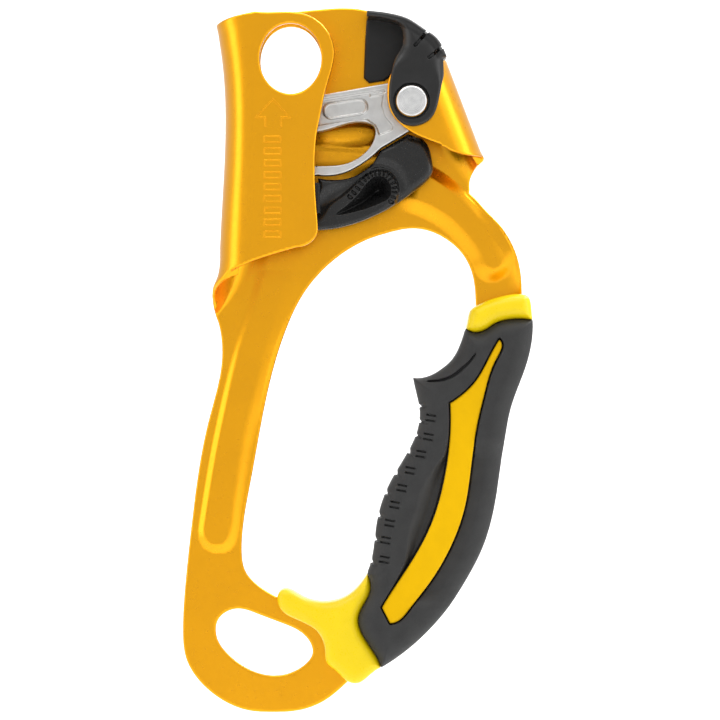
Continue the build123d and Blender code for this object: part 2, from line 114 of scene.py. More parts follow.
def section(node, y):
    """Segments, in X and Z, where a CAD node's mesh crosses the plane at depth y."""
    mesh = frame["nodes"][node].data
    mesh.calc_loop_triangles()
    co = np.zeros(len(mesh.vertices) * 3)
    mesh.vertices.foreach_get("co", co)
    co = co.reshape(-1, 3) * 1000
    tri = np.zeros(len(mesh.loop_triangles) * 3, int)
    mesh.loop_triangles.foreach_get("vertices", tri)
    corners = co[tri.reshape(-1, 3)]
    height = corners[:, :, 1] - (y + NUDGE)
    crossing = (height > 0).any(1) & (height < 0).any(1)
    corners, height = corners[crossing], height[crossing]
    ends = []
    for i, j in ((0, 1), (1, 2), (2, 0)):
        cut = (height[:, i] > 0) != (height[:, j] > 0)
        t = np.where(cut, height[:, i] / np.where(cut, height[:, i] - height[:, j], 1), 0)
        point = corners[:, i] + (corners[:, j] - corners[:, i]) * t[:, None]
        ends.append(np.where(cut[:, None], point[:, [0, 2]], np.nan))
    ends = np.stack(ends, 1)
    order = np.argsort(np.isnan(ends[:, :, 0]), axis=1, kind="stable")[:, :2]
    return np.take_along_axis(ends, order[:, :, None], 1)


def through(x, points):
    """Smooth curve through (x, y) points, level beyond both ends."""
    px, py = np.array(sorted(points), float).T
    slope = np.gradient(py, px)
    x = np.clip(x, px[0], px[-1])
    i = np.clip(np.searchsorted(px, x) - 1, 0, len(px) - 2)
    h = px[i + 1] - px[i]
    t = (x - px[i]) / h
    return (py[i] * (1 + 2 * t) * (1 - t) ** 2 + py[i + 1] * t * t * (3 - 2 * t)
            + h * slope[i] * t * (1 - t) ** 2 - h * slope[i + 1] * t * t * (1 - t))


def polygon(points, smooth=True):
    """Outline of a closed polygon or of the smooth curve through its corners."""
    p = spline(points) if smooth else np.array(points, float)
    return Outline(loop_segments(p))


class Outline:
    """Signed distance, in the X-Z plane, to closed outlines given as segments; inside is negative."""

    def __init__(self, segments, step=0.3, margin=4.0):
        self.step = step * 1.0
        low = segments.reshape(-1, 2).min(0) - margin
        high = segments.reshape(-1, 2).max(0) + margin
        self.low = low
        self.x = np.arange(low[0], high[0] + self.step, self.step)
        self.z = np.arange(low[1], high[1] + self.step, self.step)
        px, pz = np.meshgrid(self.x, self.z, indexing="ij")
        points = np.stack([px.ravel(), pz.ravel()], 1)
        a, b = segments[:, 0], segments[:, 1]
        d = b - a
        size = np.maximum((d * d).sum(1), 1e-12)
        best = np.full(len(points), 1e9)
        odd = np.zeros(len(points), bool)
        for start in range(0, len(a), 24):
            s = slice(start, start + 24)
            rx = points[:, 0, None] - a[s, 0]
            rz = points[:, 1, None] - a[s, 1]
            t = np.clip((rx * d[s, 0] + rz * d[s, 1]) / size[s], 0, 1)
            best = np.minimum(best, ((rx - t * d[s, 0]) ** 2 + (rz - t * d[s, 1]) ** 2).min(1))
            between = (a[s, 1] > points[:, 1, None]) != (b[s, 1] > points[:, 1, None])
            rise = np.where(np.abs(d[s, 1]) < 1e-12, 1e-12, d[s, 1])
            left = rx < rz * d[s, 0] / rise
            odd ^= (between & left).sum(1) % 2 == 1
        self.field = np.where(odd, -1, 1).reshape(px.shape) * np.sqrt(best).reshape(px.shape)

    def __call__(self, x, z):
        fx = np.clip((x - self.low[0]) / self.step, 0, len(self.x) - 1.001)
        fz = np.clip((z - self.low[1]) / self.step, 0, len(self.z) - 1.001)
        i, k = fx.astype(int), fz.astype(int)
        u, w = fx - i, fz - k
        f = self.field
        return ((f[i, k] * (1 - u) + f[i + 1, k] * u) * (1 - w)
                + (f[i, k + 1] * (1 - u) + f[i + 1, k + 1] * u) * w)


def curve_distance(points, x, z):
    """Unsigned distance to an open curve and how far along it the nearest point lies, 0 to 1."""
    best = np.full(np.shape(x), 1e9)
    along = np.zeros(np.shape(x))
    count = len(points) - 1
    for i in range(count):
        (ax, az), (bx, bz) = points[i], points[i + 1]
        dx, dz = bx - ax, bz - az
        t = np.clip(((x - ax) * dx + (z - az) * dz) / (dx * dx + dz * dz), 0, 1)
        d = np.hypot(x - ax - t * dx, z - az - t * dz)
        nearer = d < best
        best = np.where(nearer, d, best)
        along = np.where(nearer, (i + t) / count, along)
    return best, along


# ---------------------------------------------------------------- meshing

def gradient(field, p, e=0.02):
    g = np.zeros_like(p)
    for axis in range(3):
        step = np.zeros(3)
        step[axis] = e
        g[:, axis] = (field(*(p + step).T) - field(*(p - step).T)) / (2 * e)
    return g


def surface(field, low, high, step):
    """Vertices and quads of the field's zero surface, by surface nets."""
    axes = [np.arange(a, b + s, s) for a, b, s in zip(low, high, step)]
    shape = tuple(len(a) for a in axes)
    value = np.empty(shape)
    for i in range(0, shape[0], 24):
        x, y, z = np.meshgrid(axes[0][i:i + 24], axes[1], axes[2], indexing="ij")
        value[i:i + 24] = field(x, y, z)
    inside = value < 0
    cells = tuple(n - 1 for n in shape)
    total = np.zeros(cells + (3,), np.float32)
    count = np.zeros(cells, np.int16)
    crossings = []
    for axis in range(3):
        near = [slice(None)] * 3
        far = [slice(None)] * 3
        near[axis], far[axis] = slice(None, -1), slice(1, None)
        a, b = value[tuple(near)], value[tuple(far)]
        at = np.argwhere(inside[tuple(near)] != inside[tuple(far)])
        va, vb = a[tuple(at.T)], b[tuple(at.T)]
        point = at.astype(np.float32)
        point[:, axis] += va / (va - vb)
        crossings.append((at, va < 0))
        others = [k for k in range(3) if k != axis]
        for du in (0, 1):
            for dv in (0, 1):
                cell = at.copy()
                cell[:, others[0]] -= du
                cell[:, others[1]] -= dv
                ok = ((cell >= 0) & (cell < cells)).all(1)
                np.add.at(total, tuple(cell[ok].T), point[ok])
                np.add.at(count, tuple(cell[ok].T), 1)
    used = count > 0
    number = np.full(cells, -1)
    number[used] = np.arange(used.sum())
    vertices = total[used] / count[used][:, None] * step + np.array(low)
    quads = []
    for axis, (at, first_inside) in enumerate(crossings):
        u, v = [(1, 2), (2, 0), (0, 1)][axis]
        ring = []
        for du, dv in ((0, 0), (1, 0), (1, 1), (0, 1)):
            cell = at.copy()
            cell[:, u] -= du
            cell[:, v] -= dv
            ring.append(cell)
        ok = np.all([((c >= 0) & (c < cells)).all(1) for c in ring], axis=0)
        quad = np.stack([number[tuple(c[ok].T)] for c in ring], 1)
        turn = first_inside[ok]
        quad[~turn] = quad[~turn][:, ::-1]
        quads.append(quad)
    return vertices.astype(float), np.concatenate(quads)


def settle(field, vertices, step, rounds=4):
    """Moves the vertices onto the surface and returns their normals."""
    for _ in range(rounds):
        g = gradient(field, vertices)
        size = np.maximum((g * g).sum(1), 0.05)
        move = -(field(*vertices.T) / size)[:, None] * g
        length = np.linalg.norm(move, axis=1, keepdims=True)
        vertices = vertices + move * np.minimum(1, 0.5 * step / np.maximum(length, 1e-9))
    g = gradient(field, vertices, 0.06)
    return vertices, g / np.maximum(np.linalg.norm(g, axis=1, keepdims=True), 1e-9)


def piece(name, field, low, high, step, material, body, slot, *nodes):
    """Meshes a field inside a box and rides it on its body in place of the CAD nodes."""
    step = np.ones(3) * np.array(step) * COARSE
    low = np.array(low, float) - step * 1.37
    vertices, quads = surface(field, low, np.array(high, float) + step * 1.5, step)
    vertices, normals = settle(field, vertices, step.min())
    mesh = bpy.data.meshes.new(name)
    mesh.from_pydata((vertices / 1000).tolist(), [], quads.tolist())
    mesh.update()
    mesh.polygons.foreach_set("use_smooth", [True] * len(mesh.polygons))
    mesh.normals_split_custom_set_from_vertices(normals.tolist())
    mesh.materials.append(material)
    obj = bpy.data.objects.new(name, mesh)
    bpy.context.scene.collection.objects.link(obj)
    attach(obj, body)
    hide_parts(*nodes)
    return obj


# ---------------------------------------------------------------- materials

class Nodes:
    """Small helper that builds one material's node tree."""

    def __init__(self, name):
        self.material = bpy.data.materials.new(name)
        self.material.use_nodes = True
        self.tree = self.material.node_tree
        self.shader = self.tree.nodes["Principled BSDF"]
        self.place = self.add("ShaderNodeTexCoord").outputs["Object"]

    def add(self, kind, **values):
        node = self.tree.nodes.new(kind)
        for key, value in values.items():
            if key in node.inputs:
                node.inputs[key].default_value = value
            else:
                setattr(node, key, value)
        return node

    def link(self, output, target):
        self.tree.links.new(output, target)

    def set(self, **values):
        for key, value in values.items():
            self.shader.inputs[key.replace("_", " ")].default_value = value

    def noise(self, scale, detail=3.0, stretch=None):
        """Noise in object space, per metre; stretch scales the three axes."""
        noise = self.add("ShaderNodeTexNoise", Scale=scale, Detail=detail)
        where = self.place
        if stretch:
            mapping = self.add("ShaderNodeMapping", Scale=stretch)
            self.link(self.place, mapping.inputs["Vector"])
            where = mapping.outputs["Vector"]
        self.link(where, noise.inputs["Vector"])
        return noise.outputs["Fac"]

    def ramp(self, value, low, high, to_low, to_high):
        span = self.add("ShaderNodeMapRange")
        for key, number in zip(("From Min", "From Max", "To Min", "To Max"), (low, high, to_low, to_high)):
            span.inputs[key].default_value = number
        self.link(value, span.inputs["Value"])
        return span.outputs["Result"]

    def colour(self, value, dark, light):
        ramp = self.add("ShaderNodeValToRGB")
        ramp.color_ramp.elements[0].color = (*dark, 1)
        ramp.color_ramp.elements[1].color = (*light, 1)
        self.link(value, ramp.inputs["Fac"])
        self.link(ramp.outputs["Color"], self.shader.inputs["Base Color"])

    def bump(self, height, strength, distance):
        bump = self.add("ShaderNodeBump", Strength=strength, Distance=distance)
        self.link(height, bump.inputs["Height"])
        self.link(bump.outputs["Normal"], self.shader.inputs["Normal"])

    def roughness(self, value):
        self.link(value, self.shader.inputs["Roughness"])


def anodised():
    m = Nodes("anodised gold sheet")
    m.set(Metallic=1.0, Coat_Weight=0.35, Coat_Roughness=0.2)
    m.colour(m.ramp(m.noise(90, 4), 0.3, 0.7, 0, 1), (0.81, 0.360, 0.000), (0.85, 0.380, 0.000))
    m.roughness(m.ramp(m.noise(900, 3), 0.3, 0.7, 0.27, 0.34))
    m.bump(m.noise(3000, 2), 0.06, 0.000004)
    return m.material


def cast_steel():
    m = Nodes("satin cast steel")
    m.set(Metallic=0.85)
    m.colour(m.ramp(m.noise(400, 5), 0.3, 0.7, 0, 1), (0.50, 0.50, 0.49), (0.59, 0.59, 0.58))
    m.roughness(m.ramp(m.noise(1500, 4), 0.3, 0.7, 0.30, 0.44))
    m.bump(m.noise(3000, 5), 0.35, 0.00008)
    return m.material


def turned_steel():
    m = Nodes("turned steel")
    m.set(Metallic=1.0, Anisotropic=0.7)
    centre = m.add("ShaderNodeVectorMath", operation="SUBTRACT")
    m.link(m.place, centre.inputs[0])
    centre.inputs[1].default_value = (AXLE_X / 1000, 0, 0)
    flat = m.add("ShaderNodeVectorMath", operation="MULTIPLY")
    m.link(centre.outputs["Vector"], flat.inputs[0])
    flat.inputs[1].default_value = (1, 0, 1)
    radius = m.add("ShaderNodeVectorMath", operation="LENGTH")
    m.link(flat.outputs["Vector"], radius.inputs[0])
    rings = m.add("ShaderNodeTexNoise", noise_dimensions="1D", Scale=5200.0, Detail=2.0)
    m.link(radius.outputs["Value"], rings.inputs["W"])
    m.colour(m.ramp(m.noise(600, 4), 0.3, 0.7, 0, 1), (0.60, 0.60, 0.60), (0.74, 0.74, 0.73))
    m.roughness(m.ramp(rings.outputs["Fac"], 0.3, 0.7, 0.22, 0.36))
    m.bump(rings.outputs["Fac"], 0.4, 0.00003)
    around = m.add("ShaderNodeTangent", direction_type="RADIAL", axis="Y")
    m.link(around.outputs["Tangent"], m.shader.inputs["Tangent"])
    return m.material


def moulded(name, dark, light, rough, grain=6000, depth=0.00004, **extra):
    m = Nodes(name)
    m.set(**extra)
    m.colour(m.ramp(m.noise(250, 5), 0.3, 0.7, 0, 1), dark, light)
    m.roughness(m.ramp(m.noise(2200, 3), 0.3, 0.7, rough - 0.05, rough + 0.06))
    m.bump(m.noise(grain, 3), 0.3, depth)
    return m.material


ANODISED = anodised()
CAM_STEEL = cast_steel()
STEEL = turned_steel()
BLACK_PLASTIC = moulded("black plastic", (0.006, 0.006, 0.006), (0.010, 0.010, 0.010), 0.34,
                        Specular_IOR_Level=0.38)
CATCH_PLASTIC = moulded("satin black plastic", (0.006, 0.006, 0.006), (0.010, 0.010, 0.010), 0.30,
                        Specular_IOR_Level=0.38)
RUBBER = moulded("black rubber", (0.019, 0.019, 0.019), (0.025, 0.025, 0.025), 0.62, 4200, 0.00007,
                 Specular_IOR_Level=0.35)
YELLOW = moulded("yellow plastic", (0.74, 0.54, 0.001), (0.78, 0.57, 0.002), 0.30, 5000, 0.00003,
                 Specular_IOR_Level=0.3)
# The collar's yellow plastic, darkened and less glossy: painted shade for the recessed strips of the same
# plastic.
YELLOW_IN_PAINTED_SHADE = moulded("yellow plastic with painted shade", (0.67, 0.385, 0.000), (0.71, 0.41, 0.000), 0.36, 5000, 0.00003,
                Specular_IOR_Level=0.08)
WASHER = moulded("white plastic", (0.70, 0.69, 0.65), (0.78, 0.77, 0.73), 0.45)
BRONZE = moulded("bronze", (0.50, 0.31, 0.12), (0.58, 0.37, 0.15), 0.34, 3000, 0.00002, Metallic=1.0)
WIRE = moulded("spring wire", (0.38, 0.38, 0.39), (0.48, 0.48, 0.49), 0.30, 8000, 0.00002, Metallic=1.0)


def paint(material, *nodes):
    """Puts a material on CAD nodes whose shape stays."""
    for node in nodes:
        mesh = frame["nodes"][node].data
        mesh.materials.clear()
        mesh.materials.append(material)


paint(STEEL, "cam_axle", "axle_washer", "catch_rivet")
paint(WASHER, "thrust_washer_front", "thrust_washer_rear", "catch_washer")
paint(WIRE, "cam_spring", "catch_spring")
paint(BRONZE, "cam_bush")


# ---------------------------------------------------------------- pressed frame

LEFT_RIB = [(3.4, -42.8), (2.3, -49.8), (-0.8, -59.9), (-4.8, -71.7), (-10.1, -94.5), (-13.8, -116.2),
            (-14.2, -120.8), (-13.2, -123.2), (-11.0, -124.0), (-9.0, -123.2), (-7.6, -119.8),
            (-6.7, -111.4), (-4.2, -94.5), (0.9, -73.7), (3.1, -65.8), (6.2, -55.1), (9.3, -47.8),
            (13.0, -40.5), (14.0, -36.0), (8.0, -34.0), (4.0, -37.0)]
RIGHT_RIB = [(41.0, -18.0), (48.7, -20.9), (57.1, -27.0), (63.6, -34.0), (67.2, -38.5), (69.5, -42.2),
             (68.9, -44.9), (66.9, -46.1), (64.8, -44.9), (63.6, -41.9), (60.2, -37.1), (54.9, -31.8),
             (48.7, -28.1), (43.0, -26.3), (38.0, -25.5), (38.0, -19.0)]


class Frame:
    """One folded sheet: a half-round rope channel on the left and a fold over the axle on the right."""

    def __init__(self):
        self.back = Outline(section("frame", BEND_MID - 0.9))
        self.front = Outline(section("frame", -BEND_MID))
        self.left_rib = polygon(LEFT_RIB)
        self.right_rib = polygon(RIGHT_RIB)

    def channel(self, x, z, behind):
        """Distance around the channel's bend, stretched where the sheet flares at both ends."""
        flare = through(z, [(16.0, 0.0), (20.0, -0.3), (25.0, -1.3), (27.0, -1.8)])
        scoop = through(z, [(-41.0, 0.0), (-45.3, -1.6), (-51.8, -4.5), (-56.0, -7.6), (-58.5, -9.9),
                            (-62.0, -11.6)])
        crease = flare + scoop * behind
        wall = through(z, [(-62.0, -13.8), (-56.0, -12.0), (-53.3, -11.1), (-51.0, -10.2), (-48.2, -9.2),
                           (-44.0, -8.6), (-41.0, -8.5), (16.0, -8.5), (20.0, -9.1), (25.0, -10.6),
                           (27.0, -11.3)])
        return np.maximum(crease - x, 0) * BEND_MID / (crease - wall) * smoothstep(-62.0, -57.5, z)

    def fold_axis(self, z):
        """X of the fold's axis; below the fold it runs out to the notch."""
        return FOLD_X - z * FOLD_TAN + 3.2 * smoothstep(-13, -27, z)

    def slant(self, x, z):
        """Cut across the top of the fold."""
        top_x = FOLD_X - 8.6 * FOLD_TAN
        return (z - 8.6) * 0.937 - (x - top_x) * 0.349

    def top(self, x, z):
        return (z - through(x, [(-15.0, 19.5), (-8.5, 22.9), (-2.0, 24.6), (0.0, 25.0)])) * 0.95

    def blended(self, sheet, wrap, blend):
        """From a flat sheet's own outline to the trim that goes on around a bend."""
        return np.maximum(sheet, FAR_INSIDE) * (1 - blend) + np.maximum(wrap, FAR_INSIDE) * blend

    def flap_end(self, x):
        """Level of the front flap's lower edge near the channel."""
        return through(x, [(-11.2, -50.6), (-8.8, -48.5), (-2.7, -45.3), (0.0, -44.2)])

    def trim_front(self, x, z):
        """Outline of the front sheet, carried on around both bends."""
        wrap = np.maximum(self.top(x, z), np.where(x > -4.5, (self.flap_end(x) - z) * 0.88, FAR_INSIDE))
        blend = smoothstep(-1.0, -4.0, x)
        trim = self.blended(self.front(x, z), wrap, blend)
        lip = through(x, [(50.0, -11.4), (52.9, -12.8), (55.3, -13.95), (57.7, -14.7), (61.8, -15.1),
                          (68.0, -15.4)])
        wrap = np.maximum(self.slant(x, z), (lip - z) * 0.93)
        blend = smoothstep(1.0, 4.0, x - self.fold_axis(z)) * (z > -20)
        return trim * (1 - blend) + np.maximum(wrap, FAR_INSIDE) * blend

    def trim_back(self, x, z):
        edge = through(z, [(-64.0, -10.2), (-60.5, -11.1), (-58.0, -11.7), (-55.0, -12.4), (-52.5, -14.0),
                           (-50.0, -18.0)])
        wrap = np.maximum(self.top(x, z), (edge - x) * 0.9)
        blend = smoothstep(-1.0, -4.0, x) * smoothstep(-62, -59, z)
        trim = self.blended(self.back(x, z), wrap, blend)
        edge = through(z, [(-34.9, 68.9), (-31.5, 66.2), (-28.7, 63.3), (-25.9, 60.9), (-23.0, 59.9),
                           (-20.5, 60.5), (-18.0, 62.0), (-16.5, 63.6), (-15.4, 65.0), (-14.4, 69.0)])
        wrap = np.maximum(self.slant(x, z), np.where(z < -14.5, (x - edge) * 0.75, FAR_INSIDE))
        blend = smoothstep(1.0, 3.5, x - self.fold_axis(z)) * smoothstep(-34.0, -31.5, z)
        return trim * (1 - blend) + np.maximum(wrap, FAR_INSIDE) * blend

    def scoop(self, x, y, z):
        """Lower edge of the channel: it drops to the limb as it goes round the bend."""
        fall = through(y, [(-7.5, -47.7), (-6.0, -49.0), (-3.0, -51.0), (-0.5, -52.5), (2.0, -54.5),
                           (4.6, -57.0), (6.0, -60.0)])
        side = smoothstep(-7.5, -5.5, y)
        edge = self.flap_end(x) * (1 - side) + fall * side
        return np.where((x < -4) & (y < 6) & ((z > -61.5) | (y < 0)), (edge - z) * 0.8, FAR_INSIDE)

    def ramp(self, rib, x, z, across, along, outer):
        """Height of a rib, 0 to 1: level on top, with a slope outside and a longer one on the inner side."""
        top = rib(x, z)
        foot = top
        for share in (0.33, 0.67, 1.0):
            foot = np.minimum(foot, rib(x - across * share, z - along * share))
        foot = foot - outer
        inside = np.maximum(-foot, 0)
        outside = np.maximum(top, 0)
        share = inside / np.maximum(inside + outside, 1e-6)
        return 0.4 * share + 0.6 * smoothstep(0, 1, share)

    def relief(self, x, z):
        """How far the back sheet is pressed towards the viewer."""
        inner = smoothstep(0.2, 1.4, -self.back(x, z))
        reach = through(z, [(-120.0, 0.8), (-100.0, 1.6), (-60.0, 2.4), (-45.0, 3.0)])
        outer = through(z, [(-90.0, 2.3), (-70.0, 2.6), (-50.0, 3.0)])
        left = self.ramp(self.left_rib, x, z, reach, 0.0, outer) * smoothstep(-34, -42, z)
        left = left * through(z, [(-85.0, 0.85), (-65.0, 0.65), (-54.0, 0.35), (-47.0, 0.1)])
        right = self.ramp(self.right_rib, x, z, -0.6, -0.8, 3.6) * smoothstep(38, 46, x)
        ribs = RIB * np.clip(left + right, 0, 1) * inner
        pillow = 1.1 * np.clip(1 - ((x - 24.5) / 11.5) ** 2 - ((z + 8.6) / 3.9) ** 2, 0, 1)
        ledge = 0.6 * smoothstep(-11.6, -14.2, z + 0.1 * (x - 24)) * smoothstep(-21.0, -15.5, z)
        step = (pillow + ledge) * smoothstep(12, 15, x) * smoothstep(37, 34, x)
        return ribs + step

    def __call__(self, x, y, z):
        behind = smoothstep(-1.0, 1.0, y)
        t = self.channel(x, z, smoothstep(-5.0, 3.0, y)) + np.maximum((x - self.fold_axis(z)) * 0.935, 0)
        lift = np.where(y > 3, self.relief(x, z), 0.0)
        thin = 0.7 * smoothstep(-43.0, -50.0, z) * smoothstep(-4.0, -7.0, x) * smoothstep(6.0, 1.0, y)
        sheet = np.abs(np.hypot(t, y + lift) - BEND_MID - thin) - SHEET / 2 + thin
        trim = self.trim_front(x, z) * (1 - behind) + self.trim_back(x, z) * behind
        trim = np.maximum(trim, self.scoop(x, y, z))
        solid = both(sheet, trim, 0.55)
        return np.maximum(solid, 3.0 - np.hypot(x - AXLE_X, z))


def pressed_frame():
    low, high = [np.array(v) * 1000 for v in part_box("frame")]
    piece("pressed_frame", Frame(), low, high, 0.5, ANODISED, "body", "anodised_sheet", "frame")


ARROW = [(2.9, -7.0), (2.9, -4.5), (0.3, -4.5), (5.0, 0.6), (9.7, -4.5), (7.3, -4.5), (7.3, -7.0)]


def flap_marks():
    """A plain arrow and a ladder of blank bars, raised on the front flap."""
    front = -BEND_MID - SHEET / 2

    def field(x, y, z):
        arrow = curve_distance(ARROW, x, z)[0] - 0.25
        rung = (z + 10.6) / 3.3
        rung = (rung - np.clip(np.round(rung), -8, 0)) * 3.3
        qx, qz = np.abs(x - 4.9) - 2.2, np.abs(rung) - 0.75
        bar = np.hypot(np.maximum(qx, 0), np.maximum(qz, 0)) + np.minimum(np.maximum(qx, qz), 0) - 0.25
        bar = np.abs(bar + 0.2) - 0.2
        return both(np.minimum(arrow, bar), np.abs(y - front) - 0.16, 0.1)

    piece("flap_marks", field, (0, front - 0.2, -38.6), (10, front + 0.2, 1.2), (0.17, 0.1, 0.17), ANODISED,
          "body", "anodised_sheet", "frame")


# ---------------------------------------------------------------- cam

PANEL = [(4.0, -1.6), (36.2, 3.2), (35.4, -0.9), (36.4, -4.0), (38.6, -6.6), (38.4, -7.9), (34.6, -9.4),
         (33.4, -6.6), (31.1, -5.0), (23.7, -5.7), (16.0, -7.0), (6.0, -8.4)]


class Cam:
    def __init__(self):
        self.front = Outline(section("toothed_cam", -3.0), 0.25)
        self.rear = Outline(section("toothed_cam", 3.0), 0.25)
        self.panel = polygon(PANEL, smooth=False)
        self.half = 5.0
        self.teeth = [(-2.8 - 15.6 * row / 8, y) for row in range(9) for y in (-4.0, -2.0, 2.0, 4.0)]

    def face(self, x, z):
        """Depth of the front face's relief behind the rim."""
        inside = -self.panel(x, z)
        panel = 0.8 * smoothstep(-0.1, 0.4, inside)
        slope = math.tan(math.radians(8.5))
        line = z - 3.4 - (x - 36.0) * slope
        groove = 0.5 * smoothstep(0.55, 0.2, np.abs(line + 0.35)) * smoothstep(36.6, 36.0, x)
        u = (x - 25.2) * 0.989 + (z + 1.9) * 0.148
        w = (z + 1.9) * 0.989 - (x - 25.2) * 0.148
        plate = np.hypot(np.maximum(np.abs(u) - 3.9, 0), w) - 2.1
        raised = 0.35 * smoothstep(0.25, -0.15, np.abs(plate) - 0.25) + 0.18 * smoothstep(0.1, -0.2, plate)
        tab = np.maximum(np.abs(x - 34.0) - 1.9, np.abs(z - 2.15 - (x - 34) * slope) - 0.45)
        raised = raised + 0.4 * smoothstep(0.2, -0.2, tab)
        return np.maximum(panel, groove) - raised

    def __call__(self, x, y, z):
        front = both(self.front(x, z), -y - self.half + self.face(x, z), 0.4)
        front = both(front, y - 1.0, 0.1)
        rear = both(both(self.rear(x, z), y - self.half, 0.5), -0.7 - y, 0.1)
        body = np.minimum(front, rear)
        hub = np.hypot(x - AXLE_X, z)
        boss = both(np.maximum(hub - 4.6, 4.0 - hub), np.abs(y) - 5.5, 0.2)
        body = np.minimum(body, boss)
        slot = np.hypot(np.maximum(np.abs(z + 12.5) - 3.3, 0), y) - 1.2
        body = np.where(x < 12.5, both(body, -slot, 0.3), body)
        near = (x < 6) & (z > -23) & (z < 2)
        body = np.where(near, np.minimum(body, self.tooth(x, y, z)), body)
        return body

    def tooth(self, x, y, z):
        nearest = np.full(np.shape(x), 9.0)
        for tooth_z, tooth_y in self.teeth:
            lean = math.radians(58 + 24 * (-2.8 - tooth_z) / 15.6)
            ax, az = -math.sin(lean), math.cos(lean)
            dx = x - (-2.76 + 0.02406 * (tooth_z + 15.69) ** 2 + 0.3)
            dy, dz = y - tooth_y, z - tooth_z
            along = dx * ax + dz * az
            across = np.sqrt(np.maximum(dx * dx + dy * dy + dz * dz - along * along, 0))
            cone = np.maximum((across - 0.85 + 0.39 * along) * 0.93, np.maximum(along - 1.8, -along))
            nearest = np.minimum(nearest, cone)
        return nearest


def cast_cam():
    low, high = [np.array(v) * 1000 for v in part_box("toothed_cam")]
    piece("cast_cam", Cam(), low, high, (0.27, 0.3, 0.27), CAM_STEEL, "cam", "cam_steel", "toothed_cam")


# ---------------------------------------------------------------- catch lever

POCKET = [(22.8, -31.4), (25.6, -29.0), (28.6, -26.2), (31.0, -22.9), (33.6, -20.9), (36.2, -21.2),
          (37.7, -23.6), (37.3, -26.5), (34.3, -28.3), (29.3, -30.1)]
VALLEY = [(16.6, -30.4), (19.0, -27.9), (22.0, -25.7), (25.0, -24.2), (27.4, -22.4), (29.6, -20.6),
          (32.3, -19.0), (35.2, -18.4), (38.0, -19.4), (40.0, -21.9), (40.6, -25.0), (39.8, -27.6)]
KNURL = [(26.6, -26.3), (28.4, -24.3), (30.0, -22.0), (31.7, -20.5), (33.6, -19.8), (35.8, -19.9),
         (37.6, -21.0), (38.7, -23.2), (38.9, -25.4), (38.0, -27.6)]


class Catch:
    def __init__(self):
        self.plan = Outline(section("catch_lever", 2.0), 0.25)
        self.boss = Outline(section("catch_lever", -4.7), 0.25)
        self.pocket = polygon(POCKET)
        self.valley = spline(VALLEY, closed=False, steps=4)
        self.knurl = spline(KNURL, closed=False, steps=4)

    def face(self, x, z):
        """Depth of the front face: the pocket, its raised ring and the valley around the ring."""
        pocket = self.pocket(x, z)
        away, _ = curve_distance(self.valley, x, z)
        ring_side = smoothstep(3.6, 2.2, pocket)
        valley = ((1 - smoothstep(0.0, 1.2, away)) * ring_side
                  + (1 - smoothstep(0.0, 3.4, away)) * (1 - ring_side))
        away, along = curve_distance(self.knurl, x, z)
        mark = smoothstep(0.0, 0.6, np.cos(along * 2 * math.pi * 16)) * smoothstep(0.95, 0.6, away)
        hollow = np.clip(0.2 - pocket, 0, 3.4) * 1.9
        return 1.3 * valley + hollow + 1.0 * mark

    def __call__(self, x, y, z):
        front, rear = -4.4, 4.0
        plan = self.plan(x, z)
        upper = 1.2 + 1.1 * smoothstep(34, 40, x)
        body = both(both(plan, front + self.face(x, z) - y, upper), y - rear, 1.0)
        boss = both(both(self.boss(x, z), -5.0 - y, 0.3), y + 1.1, 0.1)
        body = np.minimum(body, np.where(x < 19, boss, 9))
        return np.maximum(body, 1.55 - np.hypot(x - CATCH_X, z - CATCH_Z))


def moulded_catch():
    low, high = [np.array(v) * 1000 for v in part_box("catch_lever")]
    piece("moulded_catch", Catch(), low, high, (0.24, 0.3, 0.24), CATCH_PLASTIC, "catch", "catch_plastic",
          "catch_lever")


# ---------------------------------------------------------------- top pad

class Pad:
    def __init__(self):
        self.lobe = Outline(section("top_pad", -11.3), 0.25)
        self.roof = Outline(section("top_pad", 0.0), 0.25)
        self.web = Outline(section("top_pad", 6.0), 0.25)
        self.notches = (((49.4, 21.0), (44.6, 15.4)), ((53.4, 16.0), (48.4, 12.0)))

    def __call__(self, x, y, z):
        edge = 1.0 + 4.6 * smoothstep(6, 15, z + 0.35 * (x - 44))
        ring = np.hypot(x - AXLE_X, z)
        lobe = both(np.minimum(self.lobe(x, z), ring - 6.0), -12.6 - y, edge)
        lobe = both(lobe, y + 9.9, 0.2)
        roof = both(both(self.roof(x, z), y - 7.0, 0.3), -12.0 - y, 1.2)
        web = both(both(self.web(x, z), y - 7.0, 0.3), 4.8 - y, 0.6)
        body = np.minimum(either(lobe, roof, 1.0), web)
        for notch in self.notches:
            away, _ = curve_distance(notch, x, z)
            body = np.maximum(body, -np.maximum(np.maximum(away - 0.45, -(body + 0.9)), y + 2))
        body = np.maximum(body, 4.35 - ring)
        return np.maximum(body, np.minimum(5.0 - ring, -10.7 - y))


def moulded_pad():
    low, high = [np.array(v) * 1000 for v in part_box("top_pad")]
    piece("moulded_pad", Pad(), low, high, 0.3, BLACK_PLASTIC, "body", "black_plastic", "top_pad")


# ---------------------------------------------------------------- grip

